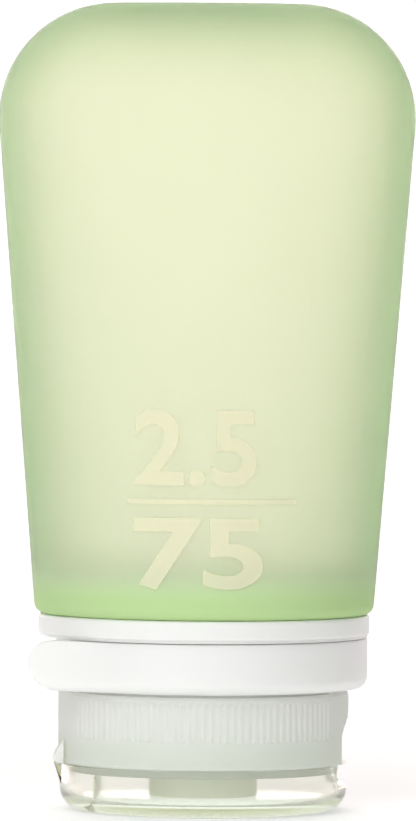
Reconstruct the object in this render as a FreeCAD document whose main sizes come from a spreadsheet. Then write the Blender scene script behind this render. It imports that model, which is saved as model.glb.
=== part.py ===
import FreeCAD, Part
import math
import os
from types import SimpleNamespace

import Sketcher

# A squeeze bottle of soft silicone, standing on its flip-top screw cap, in millimetres.
# The origin is the middle of the lid's flat face. +Z goes up to the closed crown, the front
# looks to -Y, the lid's hinge is on -X and its thumb lip on +X.

DIMENSIONS = {
    # fits shared by several pieces
    "seat_gap": 0.1,  # between pieces that sit still in each other
    "running_gap": 0.15,  # between pieces that turn or lift off each other
    "overrun": 1.0,  # how far a cut runs past the face it opens
    # silicone tube
    "body_height": 82.3,
    "crown_half_width": 29.4,  # of the tapered sides, run up to the crown's plane
    "crown_half_depth": 19.6,
    "corner_inset": 2.5,  # half depth less the radius of the oval's ends
    "crown_radius": 15.5,
    "crown_reserve": 1.2,  # flat that the crown's rounding leaves at the oval's ends
    "shoulder_radius": 1.5,
    "shoulder_overhang": 0.5,  # past the collar ring
    "body_wall": 2.8,
    "neck_bore": 13.2,
    "neck_wall": 2.2,
    "neck_cover": 0.2,  # how far the neck stands out past the collar below it
    "lip_overlap": 0.4,
    "lip_thickness": 2.1,
    "funnel_rise": 1.2,
    "funnel_ledge": 0.8,
    # threaded collar
    "collar_wall": 1.5,
    "hub_step": 2.7,
    "hub_wall": 1.75,
    "hub_floor": 1.45,
    # collar ring
    "ring_wall": 2.1,
    "ring_height": 2.6,
    "ring_edge": 0.5,
    "ring_bead_depth": 0.6,
    "ring_bead_height": 1.0,
    # hang loop
    "slot_height": 0.5,  # between the ring and the strap
    "loop_height": 6.8,
    "loop_gap": 0.25,
    "loop_thickness": 1.9,
    "loop_round": 1.6,
    "tab_lean": 30.0,  # degrees left of the front where the tab leaves the circle
    "tab_length": 14.4,
    "tab_tip_gap": 0.05,  # flat left at the middle of the tab's round end
    "loop_hinge_angle": 22.0,  # degrees behind +X
    "loop_film_inset": 0.3,
    "loop_film_radius": 0.3,
    "loop_film_angle": 1.2,  # degrees from the film to the end of the strap or lug
    "loop_lug_angle": 20.0,  # degrees that the lug takes
    # screw cap
    "rim_gap": 0.5,  # between the cap's rim and the strap
    "thread_room": 1.1,
    "skirt_wall": 1.5,
    "cap_height": 9.6,
    "cap_rim_edge": 0.45,
    "cap_foot_edge": 0.3,
    "deck_drop": 1.2,
    "deck_thickness": 1.4,
    "orifice_radius": 3.6,
    "pocket_wall": 1.2,
    "flute_radius": 0.45,
    "flute_depth": 0.3,
    "flute_height": 5.3,
    "flute_margin": 0.7,
    "flute_arc": 116.0,  # degrees of flutes at the front, and as many at the back
    "flute_count": 40,
    "scoop_radius": 26.0,
    "scoop_depth": 0.95,
    # lid hinge
    "hinge_reach": 0.45,
    "hinge_rise": 0.65,
    "hinge_width": 15.0,
    "hinge_root": 0.65,
    "hinge_bead": 0.3,
    "hinge_slope": 2.6,
    # flip lid
    "lid_height": 6.35,
    "lid_setback": 0.2,
    "lid_wall": 1.05,
    "lid_plate": 1.6,
    "lid_edge": 3.0,
    "lid_inner_round": 1.6,
    "boss_radius": 7.3,
    "boss_wall": 1.0,
    "plug_wall": 1.0,
    "plug_depth": 0.8,
    "plug_gap": 0.25,
    "partition_offset": 14.3,
    "partition_wall": 0.6,
    "partition_width": 20.0,
    "partition_height": 3.2,
    "notch_angle": 44.0,  # degrees of rim cut away over the thumb lip
    "lip_outer_height": 3.25,
    "lip_inner_height": 4.1,
    # slit valve and its retainer
    "valve_radius": 6.9,
    "valve_flange": 1.0,
    "membrane_radius": 4.6,
    "membrane_hollow": 0.5,
    "slit_length": 3.8,
    "slit_width": 0.12,
    "retainer_bore": 4.8,
    "retainer_height": 1.6,
}

SHEET = "dims"
FULL_TURN = 360.0
SAME_LEVEL = 1e-4
PARTS_FOLDER = "parts"


class Size:
    """A number together with the spreadsheet formula that gives it."""

    def __init__(self, value, formula):
        self.value = value
        self.formula = formula

    def __add__(self, other):
        other = as_size(other)
        return Size(self.value + other.value, f"({self.formula} + {other.formula})")

    def __sub__(self, other):
        other = as_size(other)
        return Size(self.value - other.value, f"({self.formula} - {other.formula})")

    def __mul__(self, other):
        other = as_size(other)
        return Size(self.value * other.value, f"({self.formula} * {other.formula})")

    def __truediv__(self, other):
        other = as_size(other)
        return Size(self.value / other.value, f"({self.formula} / {other.formula})")

    def __neg__(self):
        return Size(-self.value, f"(-{self.formula})")

    def __rmul__(self, other):
        return as_size(other) * self


def as_size(thing):
    """The thing as a Size; a plain number stays a plain number in the formula."""
    if isinstance(thing, Size):
        return thing
    return Size(float(thing), f"({float(thing)})")


def root(amount):
    return Size(math.sqrt(amount.value), f"sqrt({amount.formula})")


def cosine(degrees):
    return Size(math.cos(math.radians(degrees.value)), f"cos({degrees.formula})")


def sine(degrees):
    return Size(math.sin(math.radians(degrees.value)), f"sin({degrees.formula})")


def smaller(first, second):
    return Size(min(first.value, second.value), f"min({first.formula}; {second.formula})")


def turned(radius, degrees):
    """The point at this radius and polar angle."""
    return (radius * cosine(degrees), radius * sine(degrees))


NONE = as_size(0)

doc = FreeCAD.newDocument("travel_bottle")
sheet = doc.addObject("Spreadsheet::Sheet", SHEET)
for row, (alias, value) in enumerate(DIMENSIONS.items(), start=1):
    sheet.set(f"A{row}", alias)
    sheet.set(f"B{row}", str(value))
    sheet.setAlias(f"B{row}", alias)
doc.recompute()
d = SimpleNamespace(**{alias: Size(value, f"{SHEET}.{alias}") for alias, value in DIMENSIONS.items()})

# Radii, worked outwards from the neck's bore
neck_radius = d.neck_bore + d.neck_wall
collar_bore = neck_radius + d.seat_gap
thread_root = collar_bore + d.collar_wall
skirt_bore = thread_root + d.thread_room
cap_radius = skirt_bore + d.skirt_wall
lid_radius = cap_radius - d.lid_setback
lid_bore = lid_radius - d.lid_wall
deck_radius = lid_bore - d.running_gap
hub_bore = collar_bore + d.hub_step
hub_radius = hub_bore + d.hub_wall
upper_neck_radius = hub_radius + d.neck_cover
ring_bore = upper_neck_radius + d.seat_gap
ring_radius = ring_bore + d.ring_wall
shoulder_outer = ring_radius + d.shoulder_overhang
loop_bore = hub_radius + d.loop_gap
loop_radius = loop_bore + d.loop_thickness
pocket_bore = d.valve_radius + d.seat_gap

# Heights, worked upwards from the lid's face
cap_foot = d.lid_height + d.running_gap
deck_low = cap_foot - d.deck_drop
deck_top = deck_low + d.deck_thickness
lip_low = deck_top + d.running_gap
lip_top = lip_low + d.lip_thickness
collar_low = lip_top + d.seat_gap
cap_rim = cap_foot + d.cap_height
hub_low = cap_rim + d.rim_gap
hub_ledge = hub_low + d.hub_floor
hub_top = hub_low + d.loop_height
ring_low = hub_top + d.slot_height
ring_middle = ring_low + d.ring_height / 2
shoulder = ring_low + d.ring_height
crown = shoulder + d.body_height
valve_low = deck_top + d.seat_gap
valve_top = valve_low + d.valve_flange
retainer_low = valve_top + d.seat_gap
retainer_top = retainer_low + d.retainer_height

# The lid's hinge axis runs along Y
hinge_x = -(cap_radius + d.hinge_reach)
hinge_z = cap_foot + d.hinge_rise


def bind(feature, prop, amount):
    """Tie a property to the spreadsheet through the amount's formula."""
    feature.setExpression(prop, amount.formula)


def new_body(label):
    body = doc.addObject("PartDesign::Body", label)
    body.Label = label
    return body


def new_sketch(body, name, role, lift=NONE):
    """An empty sketch on one of the body's origin planes, lifted along its normal."""
    sketch = body.newObject("Sketcher::SketchObject", name)
    plane = next(f for f in body.Origin.OriginFeatures if f.Role == role)
    sketch.AttachmentSupport = [(plane, "")]
    sketch.MapMode = "FlatFace"
    if lift is not NONE:
        bind(sketch, "AttachmentOffset.Base.z", lift)
    return sketch


def hold(sketch, kind, targets, amount):
    """Add one dimension to a sketch, tied to the spreadsheet."""
    index = sketch.addConstraint(Sketcher.Constraint(kind, *targets, amount.value))
    bind(sketch, f"Constraints[{index}]", amount)


def arc_through(start, end, radius):
    """The arc of under half a turn from start to end; it bulges right of travel if radius > 0."""
    chord = end - start
    across = FreeCAD.Vector(chord.y, -chord.x, 0).normalize()
    reach = math.sqrt(max(radius * radius - chord.Length * chord.Length / 4, 0.0))
    middle = (start + end) / 2
    centre = middle - across * math.copysign(reach, radius)
    first, last = (start, end) if radius > 0 else (end, start)
    angles = [math.atan2(p.y - centre.y, p.x - centre.x) for p in (first, last)]
    circle = Part.Circle(centre, FreeCAD.Vector(0, 0, 1), abs(radius))
    return Part.ArcOfCircle(circle, *angles)


def outline(body, name, role, corners, lift=NONE):
    """A closed sketch of straight and round stretches, each corner held by its two coordinates.

    A corner is (across, up) or (across, up, radius). With a radius the stretch to the next
    corner is an arc, which bulges right of the direction of travel, or left if it is negative.
    """
    sketch = new_sketch(body, name, role, lift)
    points = [FreeCAD.Vector(c[0].value, c[1].value, 0) for c in corners]
    starts, ends = [], []
    for number, corner in enumerate(corners):
        start, end = points[number], points[(number + 1) % len(corners)]
        if len(corner) == 2:
            edge = sketch.addGeometry(Part.LineSegment(start, end), False)
            starts.append((edge, 1))
            ends.append((edge, 2))
        else:
            bulge = corner[2]
            edge = sketch.addGeometry(arc_through(start, end, bulge.value), False)
            starts.append((edge, 1 if bulge.value > 0 else 2))
            ends.append((edge, 2 if bulge.value > 0 else 1))
    for number, corner in enumerate(corners):
        sketch.addConstraint(Sketcher.Constraint("Coincident", *ends[number - 1], *starts[number]))
        hold(sketch, "DistanceX", (-1, 1, *starts[number]), corner[0])
        hold(sketch, "DistanceY", (-1, 1, *starts[number]), corner[1])
        if len(corner) == 3:
            bulge = corner[2] if corner[2].value > 0 else -corner[2]
            hold(sketch, "Radius", (starts[number][0],), bulge)
    return sketch


def discs(body, name, role, centres, radius, lift=NONE):
    """A sketch of equal circles."""
    sketch = new_sketch(body, name, role, lift)
    for across, up in centres:
        centre = FreeCAD.Vector(across.value, up.value, 0)
        circle = Part.Circle(centre, FreeCAD.Vector(0, 0, 1), radius.value)
        edge = sketch.addGeometry(circle, False)
        hold(sketch, "DistanceX", (-1, 1, edge, 3), across)
        hold(sketch, "DistanceY", (-1, 1, edge, 3), up)
        hold(sketch, "Radius", (edge,), radius)
    return sketch


def finished(feature):
    """Recompute and return the feature, which has to add or remove material."""
    doc.recompute()
    before = feature.BaseFeature.Shape.Volume if feature.BaseFeature else 0.0
    if abs(feature.Shape.Volume - before) < SAME_LEVEL:
        raise ValueError(f"{feature.Name} changes nothing")
    return feature


def revolve(body, name, sketch, kind="Revolution", degrees=None, both_ways=False):
    """Turn a sketch about its own upright axis: a Revolution adds, a Groove cuts."""
    feature = body.newObject(f"PartDesign::{kind}", name)
    feature.Profile = sketch
    feature.ReferenceAxis = (sketch, ["V_Axis"])
    feature.Midplane = both_ways
    feature.Angle = FULL_TURN
    if degrees is not None:
        bind(feature, "Angle", degrees)
    return finished(feature)


def extrude(body, name, sketch, length, kind="Pad", both_ways=False, reverse=False):
    """Push a sketch along its normal: a Pad adds, a Pocket cuts."""
    feature = body.newObject(f"PartDesign::{kind}", name)
    feature.Profile = sketch
    feature.SideType = "Symmetric" if both_ways else "One side"
    feature.Reversed = reverse
    bind(feature, "Length", length)
    return finished(feature)


def edges_at(feature, level):
    """Names of the edges of a feature that lie in the plane at this height."""
    names = []
    for number, edge in enumerate(feature.Shape.Edges, start=1):
        box = edge.BoundBox
        if abs(box.ZMin - level.value) < SAME_LEVEL and abs(box.ZMax - level.value) < SAME_LEVEL:
            names.append(f"Edge{number}")
    return names


def round_off(body, name, base, level, radius):
    """Round all the edges of the base feature that lie at this height."""
    feature = body.newObject("PartDesign::Fillet", name)
    feature.Base = (base, edges_at(base, level))
    bind(feature, "Radius", radius)
    return finished(feature)


def sector(body, name, bore, radius, first, last, lift):
    """A slice of a ring in plan, between two polar angles."""
    corners = [
        (*turned(bore, last), -bore),
        turned(bore, first),
        (*turned(radius, first), radius),
        turned(radius, last),
    ]
    return outline(body, name, "XY_Plane", corners, lift)


# Silicone tube

oval_end_radius = d.crown_half_depth - d.corner_inset
end_offset = d.crown_half_width - oval_end_radius
face_offset = (end_offset * end_offset - d.corner_inset * d.corner_inset) / (2 * d.corner_inset)
centre_distance = root(end_offset * end_offset + face_offset * face_offset)
lean_x = end_offset / centre_distance
lean_y = face_offset / centre_distance


def crown_oval(body, name, inset, lift):
    """The crown's outline in plan: two round ends and two flatter faces, all tangent."""
    ends = oval_end_radius - inset
    faces = ends + centre_distance
    x = end_offset + ends * lean_x
    y = ends * lean_y
    corners = [(x, -y, ends), (x, y, faces), (-x, y, ends), (-x, -y, faces)]
    return outline(body, name, "XY_Plane", corners, lift)


def shoulder_circle(body, name, radius, lift):
    """The round shoulder, split where its sides face the same way as the oval's."""
    x = radius * lean_x
    y = radius * lean_y
    corners = [(x, -y, radius), (x, y, radius), (-x, y, radius), (-x, -y, radius)]
    return outline(body, name, "XY_Plane", corners, lift)


def tapered_form(body, name, radius, low, inset, high, rounding):
    """Sides that run from the oval crown down to the round shoulder, with the crown's edge rounded."""
    top = crown_oval(body, f"{name}_crown_outline", inset, high)
    foot = shoulder_circle(body, f"{name}_foot_outline", radius, low)
    sides = body.newObject("PartDesign::AdditiveLoft", f"{name}_sides")
    sides.Profile = top
    sides.Sections = [foot]
    return round_off(body, f"{name}_crown_rounding", finished(sides), high, rounding)


def make_silicone_tube():
    """The tube is an outer form with its cavity, funnel and bore cut away."""
    crown_round = smaller(d.crown_radius, oval_end_radius - d.crown_reserve)
    cavity_low = shoulder + d.body_wall
    cavity_radius = shoulder_outer - d.body_wall

    outside = new_body("tube_outside")
    crowned = tapered_form(outside, "tube", shoulder_outer, shoulder, NONE, crown, crown_round)
    round_off(outside, "shoulder_rounding", crowned, shoulder, d.shoulder_radius)
    middle_radius = hub_bore - d.seat_gap
    groove_radius = upper_neck_radius - d.ring_bead_depth
    half_groove = d.ring_bead_height / 2 + d.seat_gap
    neck = outline(outside, "neck_outline", "XZ_Plane", [
        (NONE, lip_low),
        (thread_root + d.lip_overlap, lip_low),
        (thread_root + d.lip_overlap, lip_top),
        (neck_radius, lip_top),
        (neck_radius, hub_ledge + d.seat_gap),
        (middle_radius, hub_ledge + d.seat_gap),
        (middle_radius, hub_top + d.seat_gap),
        (upper_neck_radius, hub_top + d.seat_gap),
        (upper_neck_radius, ring_middle - half_groove),
        (groove_radius, ring_middle - half_groove),
        (groove_radius, ring_middle + half_groove),
        (upper_neck_radius, ring_middle + half_groove),
        (upper_neck_radius, cavity_low),
        (NONE, cavity_low),
    ])
    revolve(outside, "neck", neck)

    inside = new_body("tube_inside")
    tapered_form(inside, "cavity", cavity_radius, cavity_low, d.body_wall,
                 crown - d.body_wall, crown_round - d.body_wall)
    funnel_radius = cavity_radius - d.funnel_ledge
    bore = outline(inside, "bore_outline", "XZ_Plane", [
        (NONE, lip_low - d.overrun),
        (d.neck_bore, lip_low - d.overrun),
        (d.neck_bore, hub_ledge + d.funnel_rise),
        (funnel_radius, cavity_low),
        (funnel_radius, cavity_low + d.overrun),
        (NONE, cavity_low + d.overrun),
    ])
    revolve(inside, "bore", bore)

    tube = doc.addObject("Part::Cut", "silicone_tube")
    tube.Base = outside
    tube.Tool = inside
    doc.recompute()
    return tube


# Collar pieces

def make_threaded_collar():
    body = new_body("threaded_collar")
    profile = outline(body, "collar_outline", "XZ_Plane", [
        (collar_bore, collar_low),
        (thread_root, collar_low),
        (thread_root, hub_low),
        (hub_radius, hub_low),
        (hub_radius, hub_top),
        (hub_bore, hub_top),
        (hub_bore, hub_ledge),
        (collar_bore, hub_ledge),
    ])
    revolve(body, "collar", profile)
    return body


def make_collar_ring():
    body = new_body("collar_ring")
    bead_radius = ring_bore - d.ring_bead_depth
    half_bead = d.ring_bead_height / 2
    profile = outline(body, "ring_outline", "XZ_Plane", [
        (ring_bore, ring_low),
        (ring_radius - d.ring_edge, ring_low, d.ring_edge),
        (ring_radius, ring_low + d.ring_edge),
        (ring_radius, shoulder - d.ring_edge, d.ring_edge),
        (ring_radius - d.ring_edge, shoulder),
        (ring_bore, shoulder),
        (ring_bore, ring_middle + half_bead),
        (bead_radius, ring_middle + half_bead),
        (bead_radius, ring_middle - half_bead),
        (ring_bore, ring_middle - half_bead),
    ])
    revolve(body, "ring", profile)

    lug_start = d.loop_hinge_angle + d.loop_film_angle
    lug_end = lug_start + d.loop_lug_angle
    film_middle = loop_radius - d.loop_film_inset
    half_film = d.loop_film_radius / 2
    height = d.loop_height + d.slot_height + d.ring_edge
    lug = sector(body, "lug_outline", ring_bore, loop_radius, lug_start, lug_end, hub_low)
    extrude(body, "lug", lug, height)
    web_end = lug_start + d.loop_film_angle
    web = sector(body, "film_outline", film_middle - half_film, film_middle + half_film,
                 d.loop_hinge_angle, web_end, hub_low)
    extrude(body, "film", web, d.loop_height)
    bead = discs(body, "film_bead_outline", "XY_Plane", [turned(film_middle, d.loop_hinge_angle)],
                 d.loop_film_radius, hub_low)
    extrude(body, "film_bead", bead, d.loop_height)
    return body


def make_hang_loop():
    """Strap and pull tab, drawn with the tab leaving the circle at the front, then turned."""
    body = new_body("hang_loop")
    sweep = d.loop_hinge_angle - d.loop_film_angle + FULL_TURN / 4 + d.tab_lean
    section = outline(body, "strap_section", "YZ_Plane", [
        (d.loop_round - loop_radius, hub_low),
        (-loop_bore, hub_low),
        (-loop_bore, hub_top),
        (-loop_radius, hub_top),
        (-loop_radius, hub_low + d.loop_round, d.loop_round),
    ])
    revolve(body, "strap", section, degrees=sweep)
    extrude(body, "tab", section, d.tab_length, reverse=True)
    tip_radius = d.loop_height / 2 - d.tab_tip_gap
    tip_end = -d.tab_length
    tip = outline(body, "tab_tip_outline", "XZ_Plane", [
        (tip_end + tip_radius, hub_top, tip_radius),
        (tip_end, hub_top - tip_radius),
        (tip_end, hub_low + tip_radius, tip_radius),
        (tip_end + tip_radius, hub_low),
        (tip_end + tip_radius, hub_low - d.overrun),
        (tip_end - d.overrun, hub_low - d.overrun),
        (tip_end - d.overrun, hub_top + d.overrun),
        (tip_end + tip_radius, hub_top + d.overrun),
    ])
    extrude(body, "tab_tip", tip, 2 * (loop_radius + d.overrun), "Pocket", both_ways=True)
    body.Placement = FreeCAD.Placement(FreeCAD.Vector(), FreeCAD.Rotation(-d.tab_lean.value, 0, 0))
    return body


# Screw cap and lid

def make_screw_cap():
    body = new_body("screw_cap")
    pocket_radius = pocket_bore + d.pocket_wall
    profile = outline(body, "cap_outline", "XZ_Plane", [
        (d.orifice_radius, deck_low),
        (deck_radius, deck_low),
        (deck_radius, cap_foot),
        (cap_radius - d.cap_foot_edge, cap_foot, d.cap_foot_edge),
        (cap_radius, cap_foot + d.cap_foot_edge),
        (cap_radius, cap_rim - d.cap_rim_edge),
        (cap_radius - d.cap_rim_edge, cap_rim),
        (skirt_bore, cap_rim),
        (skirt_bore, deck_top),
        (pocket_radius, deck_top),
        (pocket_radius, retainer_top),
        (pocket_bore, retainer_top),
        (pocket_bore, deck_top),
        (d.orifice_radius, deck_top),
    ])
    revolve(body, "cap", profile)

    scoop_x = cap_radius - d.scoop_depth + d.scoop_radius
    scoop = discs(body, "scoop_outline", "XZ_Plane", [(scoop_x, cap_foot)], d.scoop_radius)
    extrude(body, "thumb_scoop", scoop, 2 * cap_radius, "Pocket", both_ways=True)

    root_x = -(skirt_bore + d.hinge_root)
    arm = outline(body, "hinge_arm_outline", "XZ_Plane", [
        (hinge_x, hinge_z),
        (root_x, cap_foot),
        (root_x, hinge_z + d.hinge_slope),
        (hinge_x, hinge_z + d.hinge_bead),
    ])
    extrude(body, "hinge_arm", arm, d.hinge_width, both_ways=True)
    bead = discs(body, "hinge_bead_outline", "XZ_Plane", [(hinge_x, hinge_z)], d.hinge_bead)
    extrude(body, "hinge_bead", bead, d.hinge_width, both_ways=True)

    flute_centre = cap_radius + d.flute_radius - d.flute_depth
    first = -(d.flute_arc / 2 + FULL_TURN / 4)
    front = turned(flute_centre, first)
    back = (-front[0], -front[1])
    flutes = discs(body, "flute_outline", "XY_Plane", [front, back], d.flute_radius,
                   cap_rim - d.flute_margin)
    flute = extrude(body, "flute", flutes, d.flute_height, "Pocket")
    pattern = body.newObject("PartDesign::PolarPattern", "flute_pattern")
    pattern.Originals = [flute]
    pattern.Axis = (flutes, ["N_Axis"])
    bind(pattern, "Angle", d.flute_arc)
    bind(pattern, "Occurrences", d.flute_count)
    body.Tip = pattern
    finished(pattern)
    return body


def make_flip_lid():
    body = new_body("flip_lid")
    plug_radius = d.orifice_radius - d.plug_gap
    plug_bore = plug_radius - d.plug_wall
    boss_bore = d.boss_radius - d.boss_wall
    boss_top = deck_low - d.running_gap
    plug_top = deck_low + d.plug_depth
    profile = outline(body, "lid_outline", "XZ_Plane", [
        (NONE, NONE),
        (lid_radius - d.lid_edge, NONE, d.lid_edge),
        (lid_radius, d.lid_edge),
        (lid_radius, d.lid_height),
        (lid_bore, d.lid_height),
        (lid_bore, d.lid_plate + d.lid_inner_round, -d.lid_inner_round),
        (lid_bore - d.lid_inner_round, d.lid_plate),
        (d.boss_radius, d.lid_plate),
        (d.boss_radius, boss_top),
        (boss_bore, boss_top),
        (boss_bore, d.lid_plate),
        (plug_radius, d.lid_plate),
        (plug_radius, plug_top),
        (plug_bore, plug_top),
        (plug_bore, d.lid_plate),
        (NONE, d.lid_plate),
    ])
    revolve(body, "lid", profile)

    far = -(d.partition_offset + d.partition_wall / 2)
    near = far + d.partition_wall
    partition = outline(body, "partition_outline", "XZ_Plane", [
        (far, d.lid_plate / 2),
        (near, d.lid_plate / 2),
        (near, d.lid_plate + d.partition_height),
        (far, d.lid_plate + d.partition_height),
    ])
    extrude(body, "partition", partition, d.partition_width, both_ways=True)

    notch = outline(body, "notch_outline", "XZ_Plane", [
        (lid_bore - d.running_gap, d.lip_inner_height),
        (lid_bore, d.lip_inner_height),
        (lid_radius, d.lip_outer_height),
        (lid_radius + d.overrun, d.lip_outer_height),
        (lid_radius + d.overrun, d.lid_height + d.overrun),
        (lid_bore - d.running_gap, d.lid_height + d.overrun),
    ])
    revolve(body, "thumb_notch", notch, "Groove", d.notch_angle, both_ways=True)

    root_x = -(lid_bore + d.hinge_root)
    arm = outline(body, "hinge_arm_outline", "XZ_Plane", [
        (hinge_x, hinge_z - d.hinge_bead - d.seat_gap),
        (root_x, d.lid_height - d.hinge_slope),
        (root_x, d.lid_height),
        (-cap_radius, d.lid_height),
    ])
    extrude(body, "hinge_arm", arm, d.hinge_width, both_ways=True)
    return body


# Valve

def make_slit_valve():
    body = new_body("slit_valve")
    hollow_radius = (d.membrane_radius * d.membrane_radius + d.membrane_hollow * d.membrane_hollow)
    hollow_radius = hollow_radius / (2 * d.membrane_hollow)
    profile = outline(body, "valve_outline", "XZ_Plane", [
        (NONE, valve_low + d.membrane_hollow, -hollow_radius),
        (d.membrane_radius, valve_low),
        (d.valve_radius, valve_low),
        (d.valve_radius, valve_top),
        (NONE, valve_top),
    ])
    revolve(body, "valve", profile)
    for name, along, across in (("slit", d.slit_length, d.slit_width),
                                ("cross_slit", d.slit_width, d.slit_length)):
        slit = outline(body, f"{name}_outline", "XY_Plane", [
            (-along / 2, -across / 2),
            (along / 2, -across / 2),
            (along / 2, across / 2),
            (-along / 2, across / 2),
        ], valve_top + d.overrun)
        extrude(body, name, slit, d.valve_flange + 2 * d.overrun, "Pocket")
    return body


def make_valve_retainer():
    body = new_body("valve_retainer")
    profile = outline(body, "retainer_outline", "XZ_Plane", [
        (d.retainer_bore, retainer_low),
        (pocket_bore - d.seat_gap, retainer_low),
        (pocket_bore - d.seat_gap, retainer_top),
        (d.retainer_bore, retainer_top),
    ])
    revolve(body, "retainer", profile)
    return body


bodies = [
    make_silicone_tube(),
    make_threaded_collar(),
    make_collar_ring(),
    make_hang_loop(),
    make_screw_cap(),
    make_flip_lid(),
    make_slit_valve(),
    make_valve_retainer(),
]
doc.recompute()

failed = [o.Name for o in doc.Objects if "Invalid" in o.State or "Error" in o.State]
if failed:
    raise ValueError(f"features that failed: {failed}")
for body in bodies:
    if body.Shape.isNull() or not body.Shape.isValid() or len(body.Shape.Solids) != 1:
        raise ValueError(f"{body.Label} is not one valid solid")

os.makedirs(PARTS_FOLDER, exist_ok=True)
for body in bodies:
    body.Shape.exportStep(os.path.join(PARTS_FOLDER, f"{body.Label}.step"))
    print(f"{body.Label}: volume {body.Shape.Volume:.0f} mm3")
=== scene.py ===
import logging
import math
from collections.abc import Callable, Sequence
from dataclasses import dataclass, field
from enum import Enum
from typing import Any, ClassVar

import bmesh
import bpy
from bmesh.types import BMEdge, BMFace, BMVert
from mathutils import Matrix, Quaternion, Vector


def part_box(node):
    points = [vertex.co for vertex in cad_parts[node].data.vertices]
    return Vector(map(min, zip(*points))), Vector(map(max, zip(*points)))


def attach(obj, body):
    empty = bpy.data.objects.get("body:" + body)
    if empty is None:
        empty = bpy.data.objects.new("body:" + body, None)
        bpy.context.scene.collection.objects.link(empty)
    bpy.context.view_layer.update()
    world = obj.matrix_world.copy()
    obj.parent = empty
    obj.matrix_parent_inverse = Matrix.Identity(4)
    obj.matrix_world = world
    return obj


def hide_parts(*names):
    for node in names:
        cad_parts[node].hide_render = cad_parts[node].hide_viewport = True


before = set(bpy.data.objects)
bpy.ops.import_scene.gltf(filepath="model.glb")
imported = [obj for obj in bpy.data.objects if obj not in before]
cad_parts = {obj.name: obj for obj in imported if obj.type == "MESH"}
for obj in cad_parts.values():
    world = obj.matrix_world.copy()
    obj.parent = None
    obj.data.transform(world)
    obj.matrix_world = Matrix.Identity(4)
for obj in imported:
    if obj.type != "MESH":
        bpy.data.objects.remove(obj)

# A squeeze bottle of soft silicone, standing on its flip-top screw cap.
# Shapes are drawn in millimetres and turned to metres when they become pieces.
# The front looks to -Y, the lid's hinge is on -X and its thumb lip on +X.

MM = 0.001
FULL_TURN = 2.0 * math.pi
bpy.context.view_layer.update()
# Thickness of the floor in the collar's hub, on which the tube's neck sits.
HUB_FLOOR = 1.45
# The sRGB curve is straight below its knee and a power above it.
SRGB_KNEE = 0.04045
SRGB_SLOPE = 12.92
SRGB_OFFSET = 0.055
SRGB_POWER = 2.4

Corner = tuple[float, ...]
Ring = Callable[[float], Vector]
Colour = tuple[float, float, float, float]

log = logging.getLogger("travel_bottle")


class Body(Enum):
    """The bodies that pieces ride on."""

    BOTTLE = "bottle"
    LOOP = "loop"
    CARRIER = "cap_carrier"
    CAP = "cap"
    LID = "lid"


class Slot(Enum):
    """The record's material slots."""

    GREEN_SILICONE = "green_silicone"
    WHITE_PLASTIC = "white_plastic"
    NATURAL_PLASTIC = "natural_plastic"
    CLEAR_PLASTIC = "clear_plastic"
    VALVE_SILICONE = "valve_silicone"


class Join(Enum):
    """How one closed shape is combined with another."""

    ADD = "UNION"
    CUT = "DIFFERENCE"


class Falloff(Enum):
    """How a wall's light fades towards its edge."""

    EVEN = "LINEAR"
    SOFT = "SMOOTHSTEP"


def linear(hex_colour: str) -> Colour:
    """Turn an sRGB hex colour into the linear values that shaders take.

    Args:
        hex_colour: Six hex digits after a hash sign.

    Returns:
        Linear red, green and blue, and an alpha of 1.
    """
    def straight(share: float) -> float:
        """Undo the sRGB curve for one channel."""
        if share <= SRGB_KNEE:
            return share / SRGB_SLOPE
        return ((share + SRGB_OFFSET) / (1.0 + SRGB_OFFSET)) ** SRGB_POWER

    red, green, blue = (straight(int(hex_colour[at:at + 2], 16) / 255.0) for at in (1, 3, 5))
    return red, green, blue, 1.0


def empty_tree(owner: Any) -> bpy.types.NodeTree:
    """Give a material or a world an empty node tree.

    Args:
        owner: The material or world.

    Returns:
        Its node tree.
    """
    owner.use_nodes = True
    owner.node_tree.nodes.clear()
    return owner.node_tree


def add_node(tree: bpy.types.NodeTree, kind: str, inputs: dict[Any, Any],
             **settings: Any) -> bpy.types.Node:
    """Add one shader node with its settings and links.

    Args:
        tree: The node tree it goes into.
        kind: Blender's name for the node type.
        inputs: For each socket, by name or number, a value or the output that feeds it.
        **settings: Other properties of the node.

    Returns:
        The new node.
    """
    node = tree.nodes.new(kind)
    for name, value in settings.items():
        setattr(node, name, value)
    for socket, value in inputs.items():
        if isinstance(value, bpy.types.NodeSocket):
            tree.links.new(value, node.inputs[socket])
        else:
            node.inputs[socket].default_value = value
    return node


def put(name: str, data: bpy.types.ID) -> bpy.types.Object:
    """Put a mesh, a lamp or the like into the scene.

    Args:
        name: The object's name.
        data: What it shows.

    Returns:
        The new object.
    """
    made = bpy.data.objects.new(name, data)
    bpy.context.scene.collection.objects.link(made)
    return made


def only(kind: type, parts: Sequence[Any]) -> list[Any]:
    """Pick the vertices, the edges or the faces out of a mesh operator's result.

    Args:
        kind: The mesh type to keep.
        parts: The result.

    Returns:
        The parts of that type.
    """
    return [part for part in parts if isinstance(part, kind)]


# Finishes

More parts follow.
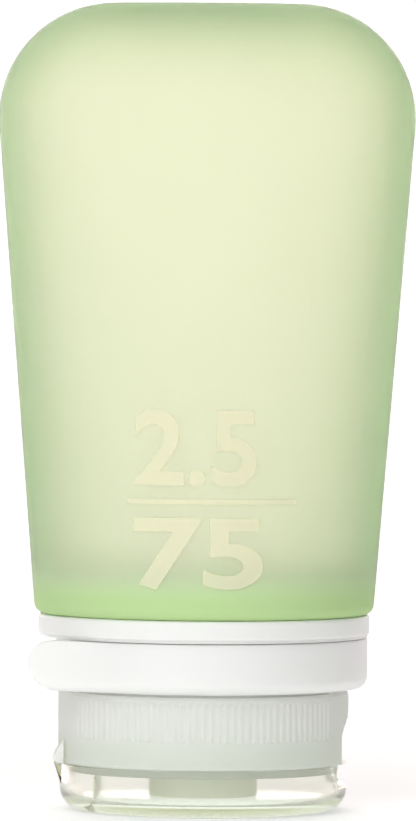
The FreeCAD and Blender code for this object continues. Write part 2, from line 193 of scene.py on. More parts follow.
@dataclass(frozen=True)
class Finish:
    """A moulded plastic or rubber: its tint, its gloss, its mould grain and how it takes light in.

    The melt never mixes evenly, so the tint drifts between two near colours in soft clouds, and
    the gloss drifts with it. A stain is the colour that light keeps after passing stain_mm of it,
    and milkiness is the share of light that a surface scatters on to its other side. From foot_mm
    down the tint blends into a greener foot colour and it is less clear: partly the green of thick
    silicone, partly painted light that stands in for light the silicone carries there. Real mould
    grain is a few hundredths of a millimetre, so grain_mm is coarser, for it to show.
    """

    CLOUD_DETAIL: ClassVar[float] = 2.0
    CLOUD_CONTRAST: ClassVar[float] = 0.5
    GRAIN_DETAIL: ClassVar[float] = 3.0
    GRAIN_CONTRAST: ClassVar[float] = 0.6
    LEAST: ClassVar[float] = 0.001

    name: str
    tint: str
    cloud_tint: str
    cloud_mm: float
    roughness: float
    roughness_drift: float
    ior: float
    grain_mm: float
    grain_depth_mm: float
    clarity: float = 0.0
    milkiness: float = 0.0
    spread_mm: float = 0.0
    stain: str = "#ffffff"
    stain_mm: float = 1.0
    foot_tint_and_painted_light: str = ""
    foot_clarity: float = 0.0
    foot_mm: tuple[float, float] = (0.0, 1.0)

    def absorption(self) -> tuple[Colour, float]:
        """Work out the colour and density of the absorption that gives the stain.

        Returns:
            The absorption node's colour, and its density per metre.
        """
        kept = [max(channel, self.LEAST) for channel in linear(self.stain)[:3]]
        rates = [-math.log(channel) / (self.stain_mm * MM) for channel in kept]
        density = max(*rates, self.LEAST)
        red, green, blue = (1.0 - rate / density for rate in rates)
        return (red, green, blue, 1.0), density

    def with_foot(self, tree: bpy.types.NodeTree, place: Any, tint: Any) -> tuple[Any, Any]:
        """Blend the tint and the clarity into those of the foot by height: a greener foot colour
        that is partly painted light.

        Args:
            tree: The material's node tree.
            place: The output that gives the place on the object.
            tint: The output that gives the tint above the foot.

        Returns:
            The tint, and the clarity as a plain value or as an output.
        """
        if not self.foot_tint_and_painted_light:
            return tint, self.clarity
        low, high = (end * MM for end in self.foot_mm)
        height = add_node(tree, "ShaderNodeSeparateXYZ", {"Vector": place}).outputs["Z"]
        above = add_node(tree, "ShaderNodeMapRange", {
            "Value": height, "From Min": low, "From Max": high,
        }, interpolation_type="SMOOTHSTEP").outputs["Result"]
        # Painted light: towards the foot the tint turns greener, partly standing in for light the
        # silicone carries there.
        blend = add_node(tree, "ShaderNodeMix", {
            "Factor": above, "A": linear(self.foot_tint_and_painted_light), "B": tint,
        }, data_type="RGBA").outputs["Result"]
        clarity = add_node(tree, "ShaderNodeMapRange", {
            "Value": above, "To Min": self.foot_clarity, "To Max": self.clarity,
        }).outputs["Result"]
        return blend, clarity

    def build(self) -> bpy.types.Material:
        """Make the material.

        Returns:
            The finished node material.
        """
        material = bpy.data.materials.new(self.name)
        tree = empty_tree(material)
        place = add_node(tree, "ShaderNodeTexCoord", {}).outputs["Object"]
        clouds = add_node(tree, "ShaderNodeTexNoise", {
            "Vector": place, "Scale": 1.0 / (self.cloud_mm * MM),
            "Detail": self.CLOUD_DETAIL, "Roughness": self.CLOUD_CONTRAST,
        }).outputs["Fac"]
        clouded = add_node(tree, "ShaderNodeMix", {
            "Factor": clouds, "A": linear(self.tint), "B": linear(self.cloud_tint),
        }, data_type="RGBA").outputs["Result"]
        tint, clarity = self.with_foot(tree, place, clouded)
        gloss = add_node(tree, "ShaderNodeMapRange", {
            "Value": clouds, "To Min": self.roughness - self.roughness_drift,
            "To Max": self.roughness + self.roughness_drift,
        })
        grain = add_node(tree, "ShaderNodeTexNoise", {
            "Vector": place, "Scale": 1.0 / (self.grain_mm * MM),
            "Detail": self.GRAIN_DETAIL, "Roughness": self.GRAIN_CONTRAST,
        })
        relief = add_node(tree, "ShaderNodeBump", {
            "Height": grain.outputs["Fac"], "Strength": 1.0, "Distance": self.grain_depth_mm * MM,
        })
        shader = add_node(tree, "ShaderNodeBsdfPrincipled", {
            "Base Color": tint, "Roughness": gloss.outputs["Result"],
            "Normal": relief.outputs["Normal"], "IOR": self.ior,
            "Transmission Weight": clarity, "Subsurface Weight": float(self.spread_mm > 0.0),
            "Subsurface Radius": (1.0, 1.0, 1.0), "Subsurface Scale": self.spread_mm * MM,
        })
        milk = add_node(tree, "ShaderNodeBsdfTranslucent", {
            "Color": tint, "Normal": relief.outputs["Normal"],
        })
        both = add_node(tree, "ShaderNodeMixShader", {
            0: self.milkiness, 1: shader.outputs["BSDF"], 2: milk.outputs["BSDF"],
        })
        ends = {"Surface": both.outputs["Shader"]}
        if self.clarity > 0.0:
            colour, density = self.absorption()
            ends["Volume"] = add_node(tree, "ShaderNodeVolumeAbsorption", {
                "Color": colour, "Density": density,
            }).outputs["Volume"]
        add_node(tree, "ShaderNodeOutputMaterial", ends)
        return material


# Silicone cast in a blasted mould: milky and satin, and greener the longer light travels in it.
# Its IOR is below silicone's 1.41, so that the tube's edges turn green and not dark.
FROSTED_SILICONE = Finish(
    name="frosted_green_silicone", tint="#fffaf4", cloud_tint="#fdf8ef", cloud_mm=14.0,
    roughness=0.55, roughness_drift=0.04, ior=1.15, grain_mm=0.35, grain_depth_mm=0.012,
    clarity=0.76, stain="#d2e9c8", stain_mm=6.0,
    # Its foot is painted greener and less clear, partly for the thick silicone and partly as
    # painted light.
    foot_tint_and_painted_light="#d0edad", foot_clarity=0.3, foot_mm=(28.4, 34.8),
)
# The same silicone where the mould was polished, so the raised marks shine.
POLISHED_SILICONE = Finish(
    name="polished_green_silicone", tint="#fffde4", cloud_tint="#fdfbe0", cloud_mm=14.0,
    roughness=0.2, roughness_drift=0.02, ior=1.2, grain_mm=0.6, grain_depth_mm=0.004,
    clarity=0.5, stain="#e4f1dc", stain_mm=6.0,
)
# Injection-moulded white polypropylene: opaque, with a soft satin from its spark-eroded mould.
WHITE_POLYPROPYLENE = Finish(
    name="white_polypropylene", tint="#e9eae8", cloud_tint="#e6e7e5", cloud_mm=9.0,
    roughness=0.42, roughness_drift=0.04, ior=1.49, grain_mm=0.25, grain_depth_mm=0.006,
    spread_mm=1.6,
)
# Unpigmented polypropylene: milky, so shapes behind it show only as soft tints.
NATURAL_POLYPROPYLENE = Finish(
    name="natural_polypropylene", tint="#fdfefc", cloud_tint="#fcfdfa", cloud_mm=7.0,
    roughness=0.35, roughness_drift=0.05, ior=1.49, grain_mm=0.3, grain_depth_mm=0.006,
    milkiness=0.65,
)
# Clarified polypropylene: see-through and glossy, with a faint green-grey cast in thick walls.
# Its IOR is below the usual 1.49, so that the lid has no dark outline.
CLEAR_POLYPROPYLENE = Finish(
    name="clear_polypropylene", tint="#ffffff", cloud_tint="#fdfefc", cloud_mm=8.0,
    roughness=0.12, roughness_drift=0.02, ior=1.32, grain_mm=1.2, grain_depth_mm=0.004,
    clarity=1.0, stain="#dcddc9", stain_mm=8.0,
)
# The same polypropylene where the mould was left matt, so the boss and inner wall look milky.
MATT_POLYPROPYLENE = Finish(
    name="matt_polypropylene", tint="#fefff2", cloud_tint="#fcfdee", cloud_mm=8.0,
    roughness=0.5, roughness_drift=0.04, ior=1.3, grain_mm=0.4, grain_depth_mm=0.008,
)
# Thin clear silicone of the valve, slightly milky.
VALVE_RUBBER = Finish(
    name="valve_silicone", tint="#f3f5ee", cloud_tint="#eef1e8", cloud_mm=4.0,
    roughness=0.3, roughness_drift=0.04, ior=1.41, grain_mm=0.3, grain_depth_mm=0.006,
    clarity=0.7, stain="#e6ecdd", stain_mm=3.0,
)


# Shapes

class Shape:
    """A closed mesh under construction, in millimetres."""

    SHARP_ANGLE = math.radians(33.0)
    SAME_PLACE = 1e-4
    CORNER_SEGMENTS = 6
    SECTORS = 8

    def __init__(self) -> None:
        """Start empty."""
        self.mesh = bmesh.new()

    def outline(self, corners: Sequence[Corner], closed: bool = True) -> list[Any]:
        """Draw a profile in the XZ plane.

        Args:
            corners: Each has its distance from the axis, its height and, if it is rounded, how far
                the rounding reaches along its two sides.
            closed: Whether the last corner joins the first.

        Returns:
            The profile's vertices and edges.
        """
        before = set(self.mesh.verts)
        points = [self.mesh.verts.new((corner[0], 0.0, corner[1])) for corner in corners]
        followers = points[1:] + points[:1] if closed else points[1:]
        for point, follower in zip(points, followers):
            self.mesh.edges.new((point, follower))
        for point, corner in zip(points, corners):
            if len(corner) == 3:
                bmesh.ops.bevel(self.mesh, geom=[point], offset=corner[2], offset_type="OFFSET",
                                affect="VERTICES", segments=self.CORNER_SEGMENTS, profile=0.5,
                                material=-1)
        drawn = [v for v in self.mesh.verts if v not in before]
        return drawn + list({edge for v in drawn for edge in v.link_edges})

    def lathe(self, corners: Sequence[Corner], steps: int, closed: bool = True) -> "Shape":
        """Turn a profile all the way round Z: one sector is spun, and its copies close the round.

        Args:
            corners: The profile, as outline takes it.
            steps: How many faces go round.
            closed: Whether the profile is a loop; one that is not starts and ends on the axis.

        Returns:
            This shape.
        """
        drawn = self.outline(corners, closed)
        sector = FULL_TURN / self.SECTORS
        bmesh.ops.spin(self.mesh, geom=drawn, cent=(0, 0, 0), axis=(0, 0, 1), dvec=(0, 0, 0),
                       angle=sector, steps=steps // self.SECTORS, use_merge=False,
                       use_duplicate=False)
        bmesh.ops.spin(self.mesh, geom=self.whole(), cent=(0, 0, 0), axis=(0, 0, 1),
                       dvec=(0, 0, 0), angle=FULL_TURN - sector, steps=self.SECTORS - 1,
                       use_merge=False, use_duplicate=True)
        return self.tidy()

    def whole(self) -> list[Any]:
        """List all the vertices, edges and faces."""
        return [*self.mesh.verts, *self.mesh.edges, *self.mesh.faces]

    def filled(self, corners: Sequence[Corner]) -> tuple[list[BMVert], list[BMFace]]:
        """Draw a closed profile and fill it.

        Args:
            corners: The profile, as outline takes it.

        Returns:
            The profile's vertices, and its face.
        """
        drawn = self.outline(corners)
        face = bmesh.ops.edgeloop_fill(self.mesh, edges=only(BMEdge, drawn))["faces"]
        return only(BMVert, drawn), face

    def sweep(self, corners: Sequence[Corner], start: float, angle: float, steps: int,
              climb: float = 0.0) -> list[BMFace]:
        """Turn a profile part of the way round Z, with both ends closed.

        Args:
            corners: The closed profile, as outline takes it.
            start: Polar angle where it starts, in degrees.
            angle: How far it turns, in degrees.
            steps: How many faces go round.
            climb: How far it rises along Z over the whole turn.

        Returns:
            The face at the far end.
        """
        verts, face = self.filled(corners)
        bmesh.ops.rotate(self.mesh, verts=verts, cent=(0, 0, 0),
                         matrix=Matrix.Rotation(math.radians(start), 3, "Z"))
        last = bmesh.ops.spin(self.mesh, geom=face, cent=(0, 0, 0), axis=(0, 0, 1),
                              dvec=(0, 0, climb / steps), angle=math.radians(angle),
                              steps=steps, use_merge=False, use_duplicate=False)["geom_last"]
        return only(BMFace, last)

    def prism(self, corners: Sequence[Corner], width: float) -> "Shape":
        """Push a profile along Y, as far to the front as to the back.

        Args:
            corners: The closed profile, as outline takes it.
            width: The prism's size along Y.

        Returns:
            This shape.
        """
        verts, face = self.filled(corners)
        moved = only(BMVert, bmesh.ops.extrude_face_region(self.mesh, geom=face)["geom"])
        bmesh.ops.translate(self.mesh, verts=moved, vec=(0, width, 0))
        bmesh.ops.translate(self.mesh, verts=verts + moved, vec=(0, -width / 2, 0))
        return self.tidy()

    def skin(self, rings: Sequence[Ring], segments: int) -> "Shape":
        """Draw a closed shell through rings, with a flat face at the first and at the last.

        Args:
            rings: For each ring, the point that it has for an angle.
            segments: How many points each ring has.

        Returns:
            This shape.
        """
        turn = self.mesh.verts.layers.float.new("turn")
        loop = bmesh.ops.create_circle(self.mesh, cap_ends=True, cap_tris=False, segments=segments,
                                       radius=1.0)["verts"]
        for point in loop:
            point[turn] = math.atan2(point.co.y, point.co.x)
            point.co = rings[0](point[turn])
        edges = list({edge for point in loop for edge in point.link_edges})
        for ring in rings[1:]:
            grown = bmesh.ops.extrude_edge_only(self.mesh, edges=edges)["geom"]
            for point in only(BMVert, grown):
                point.co = ring(point[turn])
            edges = [edge for edge in only(BMEdge, grown) if len(edge.link_faces) == 1]
        bmesh.ops.edgeloop_fill(self.mesh, edges=edges)
        return self.tidy()

    def bend(self, moved: Callable[[Vector], Vector]) -> "Shape":
        """Move every point by a rule.

        Args:
            moved: Where a point goes.

        Returns:
            This shape.
        """
        for point in self.mesh.verts:
            point.co = moved(point.co)
        return self

    def slice(self, pitch: float) -> "Shape":
        """Cut the faces along X at an even pitch, so that a bend can curve them.

        Args:
            pitch: Distance from one cut to the next.

        Returns:
            This shape.
        """
        places = [point.co.x for point in self.mesh.verts]
        first, last = min(places), max(places)
        for step in range(1, math.ceil((last - first) / pitch)):
            bmesh.ops.bisect_plane(self.mesh, geom=self.whole(), plane_no=(1, 0, 0),
                                   plane_co=(first + step * pitch, 0, 0))
        return self

    def join(self, other: "Shape", way: Join) -> "Shape":
        """Combine with another closed shape, which is used up.

        Args:
            other: The other shape.
            way: Whether it is added or cut away.

        Returns:
            This shape.
        """
        objects = []
        for shape in (self, other):
            mesh = bpy.data.meshes.new("join")
            shape.mesh.to_mesh(mesh)
            shape.mesh.free()
            objects.append(put("join", mesh))
        kept, tool = objects
        step = kept.modifiers.new("join", "BOOLEAN")
        step.operation = way.value
        step.solver = "EXACT"
        step.object = tool
        view = bpy.context.evaluated_depsgraph_get()
        result = bpy.data.meshes.new_from_object(kept.evaluated_get(view))
        self.mesh = bmesh.new()
        self.mesh.from_mesh(result)
        for mesh in [result] + [thing.data for thing in objects]:
            bpy.data.meshes.remove(mesh)
        return self

    def tidy(self) -> "Shape":
        """Close seams and poles and turn all faces outwards.

        Returns:
            This shape.
        """
        bmesh.ops.remove_doubles(self.mesh, verts=self.mesh.verts, dist=self.SAME_PLACE)
        bmesh.ops.recalc_face_normals(self.mesh, faces=self.mesh.faces)
        return self

    def piece(self, name: str, material: bpy.types.Material, slot: Slot) -> bpy.types.Object:
        """Finish the shape as an object in metres, smooth but for its sharp edges.

        Args:
            name: The piece's name.
            material: Its finish.
            slot: The record's slot for that finish; not used.

        Returns:
            The new object.
        """
        bmesh.ops.scale(self.mesh, vec=(MM, MM, MM), verts=self.mesh.verts)
        for face in self.mesh.faces:
            face.smooth = True
        for edge in self.mesh.edges:
            edge.smooth = len(edge.link_faces) == 2 and edge.calc_face_angle() < self.SHARP_ANGLE
        mesh = bpy.data.meshes.new(name)
        self.mesh.to_mesh(mesh)
        self.mesh.free()
        mesh.materials.append(material)
        made = put(name, mesh)
        weighted = made.modifiers.new("weighted_normals", "WEIGHTED_NORMAL")
        weighted.keep_sharp = True
        log.info("%s: %d points", name, len(mesh.vertices))
        return made


def in_mm(node: str) -> tuple[Vector, Vector]:
    """Give a CAD node's lowest and highest corners in millimetres.

    Args:
        node: The node's name.

    Returns:
        The two corners.
    """
    low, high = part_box(node)
    return low / MM, high / MM


# Silicone tube

@dataclass(frozen=True)
class Oval:
    """The crown's outline in plan: two round ends and two flatter faces, all tangent."""

    half_width: float = 29.38
    half_depth: float = 19.6
    end_inset: float = 2.5

    @property
    def end_radius(self) -> float:
        """Radius of the two ends."""
        return self.half_depth - self.end_inset

    @property
    def end_offset(self) -> float:
        """How far the ends' centres lie from the middle."""
        return self.half_width - self.end_radius

    @property
    def face_offset(self) -> float:
        """How far the faces' centres lie behind the middle."""
        return (self.end_offset ** 2 - self.end_inset ** 2) / (2.0 * self.end_inset)

    def arc(self, turn: float) -> tuple[Vector, float]:
        """Find the arc whose outward direction has this angle.

        Args:
            turn: The direction's angle.

        Returns:
            The arc's centre and radius.
        """
        across = math.hypot(self.end_offset, self.face_offset)
        if abs(math.cos(turn)) >= self.end_offset / across:
            centre = Vector((math.copysign(self.end_offset, math.cos(turn)), 0.0, 0.0))
            return centre, self.end_radius
        centre = Vector((0.0, -math.copysign(self.face_offset, math.sin(turn)), 0.0))
        return centre, self.end_radius + across


def facing(turn: float) -> Vector:
    """Give the level direction that has this angle."""
    return Vector((math.cos(turn), math.sin(turn), 0.0))


@dataclass(frozen=True)
class TaperedForm:
    """Straight sides from the oval crown down to a round foot, with the crown's edge rounded."""

    foot_radius: float
    low: float
    high: float
    inset: float
    crown_round: float
    oval: Oval = field(default_factory=Oval)

    def side(self, turn: float, height: float) -> Vector:
        """Give a point of the straight sides.

        Args:
            turn: The angle of the direction that the side faces.
            height: The point's height.

        Returns:
            The point.
        """
        share = (height - self.low) / (self.high - self.low)
        centre, radius = self.oval.arc(turn)
        reach = (1.0 - share) * self.foot_radius + share * (radius - self.inset)
        point = share * centre + reach * facing(turn)
        point.z = height
        return point

    def lean(self, turn: float) -> float:
        """Give the angle by which a side leans outwards.

        Args:
            turn: The angle of the direction that the side faces.

        Returns:
            The lean in radians.
        """
        grown = (self.side(turn, self.high) - self.side(turn, self.low)).dot(facing(turn))
        return math.atan(grown / (self.high - self.low))

    def rounding(self, turn: float, middle: float, radius: float, tip: float) -> Vector:
        """Give a point of a rounding that meets the sides.

        Args:
            turn: The angle of the direction that the side faces.
            middle: Height of the rounding's centre.
            radius: The rounding's radius.
            tip: Angle of the surface's direction, from straight up.

        Returns:
            The point.
        """
        lean = self.lean(turn)
        point = self.side(turn, middle - radius * math.sin(lean))
        point += facing(turn) * radius * (math.sin(tip) - math.cos(lean))
        point.z = middle + radius * math.cos(tip)
        return point

    def crown_rings(self, count: int) -> list[Ring]:
        """List the rings of the crown's rounding, from its flat top down to the sides.

        Args:
            count: How many faces the rounding has.

        Returns:
            The rings.
        """
        middle = self.high - self.crown_round

        def ring(share: float) -> Ring:
            """Place one ring at a share of the rounding."""
            return lambda turn: self.rounding(turn, middle, self.crown_round,
                                              share * (math.pi / 2 + self.lean(turn)))

        return [ring(step / count) for step in range(count + 1)]

    def side_rings(self, low: float, count: int) -> list[Ring]:
        """List the rings of the sides, from below the crown's rounding down to a height.

        Args:
            low: Where the last ring lies.
            count: How many rings there are.

        Returns:
            The rings.
        """
        top = self.high - self.crown_round

        def ring(share: float) -> Ring:
            """Place one ring at a share of the way down."""
            def point(turn: float) -> Vector:
                """Give the ring's point for an angle."""
                start = top - self.crown_round * math.sin(self.lean(turn))
                return self.side(turn, start + share * (low - start))
            return point

        return [ring((step + 1) / count) for step in range(count)]


def circle_ring(radius: float, height: float) -> Ring:
    """Make a round ring.

    Args:
        radius: Its radius.
        height: Its height.

    Returns:
        The ring.
    """
    return lambda turn: Vector((radius * math.cos(turn), radius * math.sin(turn), height))


@dataclass
class SiliconeTube:
    """The squeeze bottle: a thick soft wall round its cavity, with a stepped neck and a lip."""

    wall: float = 2.8
    crown_round: float = 15.5
    shoulder_round: float = 1.5
    shoulder_overhang: float = 0.49
    neck_bore: float = 13.2
    neck_radius: float = 15.4
    hub_radius: float = 18.1
    upper_radius: float = 20.15
    lip_height: float = 2.1
    lip_radius: float = 17.4
    seat_gap: float = 0.1
    funnel_rise: float = 1.2
    funnel_ledge: float = 0.8
    segments: int = 176
    crown_steps: int = 16
    cavity_crown_steps: int = 14
    side_steps: int = 24
    shoulder_steps: int = 6
    search_steps: int = 40

    def __post_init__(self) -> None:
        """Read the places that the frame gives."""
        low, high = in_mm("silicone_tube")
        _, ring_high = in_mm("collar_ring")
        self.lip_low = low.z
        self.crown = high.z
        self.front_limit = low.y
        self.shoulder = ring_high.z
        self.foot_radius = ring_high.y + self.shoulder_overhang
        self.hub_ledge = in_mm("hang_loop")[0].z + HUB_FLOOR + self.seat_gap
        self.upper_ledge = in_mm("threaded_collar")[1].z + self.seat_gap

    @property
    def outside(self) -> TaperedForm:
        """The tube's outer form."""
        return TaperedForm(self.foot_radius, self.shoulder, self.crown, 0.0, self.crown_round)

    @property
    def inside(self) -> TaperedForm:
        """The cavity's form."""
        return TaperedForm(self.foot_radius - self.wall, self.shoulder + self.wall,
                           self.crown - self.wall, self.wall, self.crown_round - self.wall)

    def rings(self) -> list[Ring]:
        """List the rings from the crown down the outside, round the lip and up the inside.

        Returns:
            The rings.
        """
        form, cavity = self.outside, self.inside
        corner = self.shoulder + self.shoulder_round
        lip_high = self.lip_low + self.lip_height

        def shoulder_ring(share: float) -> Ring:
            """Place one ring at a share of the shoulder's rounding."""
            def point(turn: float) -> Vector:
                """Give the ring's point for an angle.

                Args:
                    turn: The angle of the direction that the side faces.

                Returns:
                    The point.
                """
                lean = form.lean(turn)
                tip = math.pi / 2 + lean + share * (math.pi / 2 - lean)
                return form.rounding(turn, corner, self.shoulder_round, tip)
            return point

        outer = form.crown_rings(self.crown_steps) + form.side_rings(corner, self.side_steps)
        outer += [shoulder_ring((step + 1) / self.shoulder_steps)
                  for step in range(self.shoulder_steps)]
        neck = [circle_ring(radius, height) for radius, height in (
            (self.upper_radius, self.shoulder),
            (self.upper_radius, self.upper_ledge),
            (self.hub_radius, self.upper_ledge),
            (self.hub_radius, self.hub_ledge),
            (self.neck_radius, self.hub_ledge),
            (self.neck_radius, lip_high),
            (self.lip_radius, lip_high),
            (self.lip_radius, self.lip_low),
            (self.neck_bore, self.lip_low),
            (self.neck_bore, self.hub_ledge + self.funnel_rise),
            (cavity.foot_radius - self.funnel_ledge, cavity.low),
            (cavity.foot_radius, cavity.low),
        )]
        inner = cavity.crown_rings(self.cavity_crown_steps)
        inner += cavity.side_rings(cavity.low, self.side_steps)[:-1]
        return outer + neck + inner[::-1]

    def front(self, across: float, height: float) -> float:
        """Find the front surface.

        Args:
            across: Place along X.
            height: Place along Z.

        Returns:
            The surface's place along Y.
        """
        nearest, farthest = math.pi, FULL_TURN
        for _ in range(self.search_steps):
            turn = (nearest + farthest) / 2
            if self.outside.side(turn, height).x < across:
                nearest = turn
            else:
                farthest = turn
        return self.outside.side(turn, height).y

    def build(self, silicone: bpy.types.Material) -> None:
        """Make the tube.

        Args:
            silicone: Its finish.
        """
        shape = Shape().skin(self.rings(), self.segments)
        tube = shape.piece("tube", silicone, Slot.GREEN_SILICONE)
        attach(tube, Body.BOTTLE.value)
        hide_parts("silicone_tube")


@dataclass
class LevelMark:
    """Plain raised numbers with a line between them, moulded on the tube's front."""

    tube: SiliconeTube
    upper: str = "2.5"
    lower: str = "75"
    upper_height: float = 10.2
    lower_height: float = 9.5
    number_left: float = -9.4
    upper_width: float = 16.3
    lower_width: float = 17.2
    upper_foot: float = 44.35
    lower_foot: float = 30.65
    line_height: float = 42.35
    line_left: float = -10.2
    line_right: float = 12.2
    line_width: float = 0.65
    raised: float = 0.2
    sunk: float = 0.15
    weight: float = 0.22
    pitch: float = 0.6
    line_steps: int = 24

    def number(self, words: str, width: float, tall: float, foot: float) -> Shape:
        """Draw a number, fitted to its width and height.

        Args:
            words: The number.
            width: How wide it comes out.
            tall: How tall it comes out.
            foot: Height of its foot.

        Returns:
            The number as a flat shape that stands on the tube's front.
        """
        drawn = bpy.data.curves.new("number", "FONT")
        drawn.body = words
        drawn.size = tall
        drawn.offset = self.weight
        drawn.extrude = (self.raised + self.sunk) / 2
        holder = put("number", drawn)
        view = bpy.context.evaluated_depsgraph_get()
        mesh = bpy.data.meshes.new_from_object(holder.evaluated_get(view))
        bpy.data.objects.remove(holder)
        bpy.data.curves.remove(drawn)
        shape = Shape()
        shape.mesh.from_mesh(mesh)
        bpy.data.meshes.remove(mesh)
        shape.tidy().slice(self.pitch)
        points = [v.co for v in shape.mesh.verts]
        left, right = min(p.x for p in points), max(p.x for p in points)
        low, high = min(p.y for p in points), max(p.y for p in points)

        def fitted(point: Vector) -> Vector:
            """Fit a point of the drawing to the front.

            Args:
                point: The point, with the drawing's up along Y.

            Returns:
                Its place on the tube.
            """
            across = self.number_left + (point.x - left) * width / (right - left)
            height = foot + (point.y - low) * tall / (high - low)
            return Vector((across, self.stand_off(across, height, point.z), height))

        return shape.bend(fitted)

    def stand_off(self, across: float, height: float, depth: float) -> float:
        """Give a place along Y that stands off the tube's front.

        Args:
            across: Place along X.
            height: Place along Z.
            depth: Place between the mark's back and its face, with 0 in the middle.

        Returns:
            The place along Y.
        """
        place = self.tube.front(across, height) - depth - (self.raised - self.sunk) / 2
        return max(place, self.tube.front_limit)

    def line(self) -> Shape:
        """Draw the line between the numbers.

        Returns:
            The line as a bar that follows the tube's front.
        """
        half = (self.raised + self.sunk) / 2
        bar = Shape()
        bmesh.ops.create_grid(bar.mesh, x_segments=self.line_steps, y_segments=1, size=0.5)
        grown = bmesh.ops.extrude_face_region(bar.mesh, geom=bar.mesh.faces[:])["geom"]
        bmesh.ops.translate(bar.mesh, verts=only(BMVert, grown), vec=(0, 0, 1))
        length = self.line_right - self.line_left

        def fitted(point: Vector) -> Vector:
            """Fit a point of the unit bar to the front.

            Args:
                point: The point, with the bar's thickness along Z.

            Returns:
                Its place on the tube.
            """
            across = self.line_left + (point.x + 0.5) * length
            height = self.line_height + point.y * self.line_width
            depth = (2.0 * point.z - 1.0) * half
            return Vector((across, self.stand_off(across, height, depth), height))

        return bar.bend(fitted).tidy()

    def build(self, polished: bpy.types.Material) -> None:
        """Make the numbers and the line.

        Args:
            polished: Their finish.
        """
        upper = self.number(self.upper, self.upper_width, self.upper_height, self.upper_foot)
        lower = self.number(self.lower, self.lower_width, self.lower_height, self.lower_foot)
        marks = {"upper_number": upper, "lower_number": lower, "level_line": self.line()}
        for name, shape in marks.items():
            made = shape.piece(name, polished, Slot.GREEN_SILICONE)
            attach(made, Body.BOTTLE.value)


# Collar

